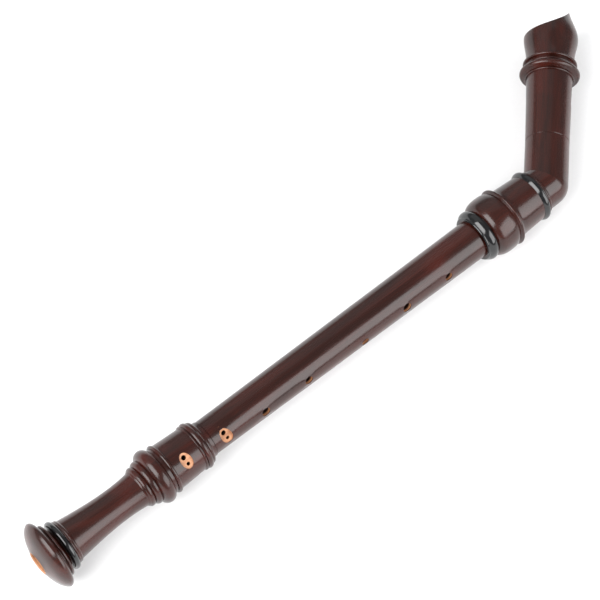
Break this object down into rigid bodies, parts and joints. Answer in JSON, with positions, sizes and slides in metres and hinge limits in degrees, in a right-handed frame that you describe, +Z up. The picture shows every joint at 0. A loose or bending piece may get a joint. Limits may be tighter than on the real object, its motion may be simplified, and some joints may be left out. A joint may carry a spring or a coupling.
{
  "type": "tenor recorder",
  "caption": "Keyless wooden tenor recorder with a bent neck: beaked head, knee, corked middle joint with finger holes, flared foot and black rings, lying on its side.",
  "frame": {"origin": "on the ground, under the middle of the whole object's box", "axes": "+X along the body from the foot to the head, +Y towards the side that the head bends to, +Z up off the ground"},
  "size_m": [0.627, 0.1404, 0.0554],
  "materials": {
    "stained_wood": "satin",
    "black_ring": "gloss",
    "cork": "matte",
    "cedar": "matte"
  },
  "bodies": {
    "middle": {"middle_joint": "stained_wood"},
    "lower_cork": {"lower_tenon_cork": "cork"},
    "foot": {"foot_joint": "stained_wood", "foot_ring": "black_ring"},
    "upper_cork": {"upper_tenon_cork": "cork"},
    "neck": {"barrel": "stained_wood", "barrel_mouth_ring": "black_ring", "barrel_neck_ring": "black_ring", "knee_lower": "stained_wood", "knee_upper": "stained_wood"},
    "neck_cork": {"knee_tenon_cork": "cork"},
    "head": {"head": "stained_wood"},
    "block": {"block": "cedar"}
  },
  "joints": [
    {"name": "foot_twist", "type": "hinge", "parent": "middle", "child": "lower_cork", "pos_m": [-0.16845, -0.04248, 0.02691], "axis": [1, 0, -0.0058], "continuous": true},
    {"name": "foot_slide", "type": "slide", "parent": "lower_cork", "child": "foot", "axis": [-1, 0, 0.0058], "range_m": [0, 0.035]},
    {"name": "neck_twist", "type": "hinge", "parent": "middle", "child": "upper_cork", "pos_m": [0.12254, -0.04248, 0.02521], "axis": [1, 0, -0.0058], "continuous": true},
    {"name": "neck_slide", "type": "slide", "parent": "upper_cork", "child": "neck", "axis": [1, 0, -0.0058], "range_m": [0, 0.045]},
    {"name": "head_twist", "type": "hinge", "parent": "neck", "child": "neck_cork", "pos_m": [0.22234, -0.0083, 0.02477], "axis": [0.7022, 0.712, -0.0013], "continuous": true},
    {"name": "head_slide", "type": "slide", "parent": "neck_cork", "child": "head", "axis": [0.7022, 0.712, -0.0013], "range_m": [0, 0.03]},
    {"name": "block_slide", "type": "slide", "parent": "head", "child": "block", "axis": [0.7022, 0.712, -0.0013], "range_m": [0, 0.08]}
  ]
}
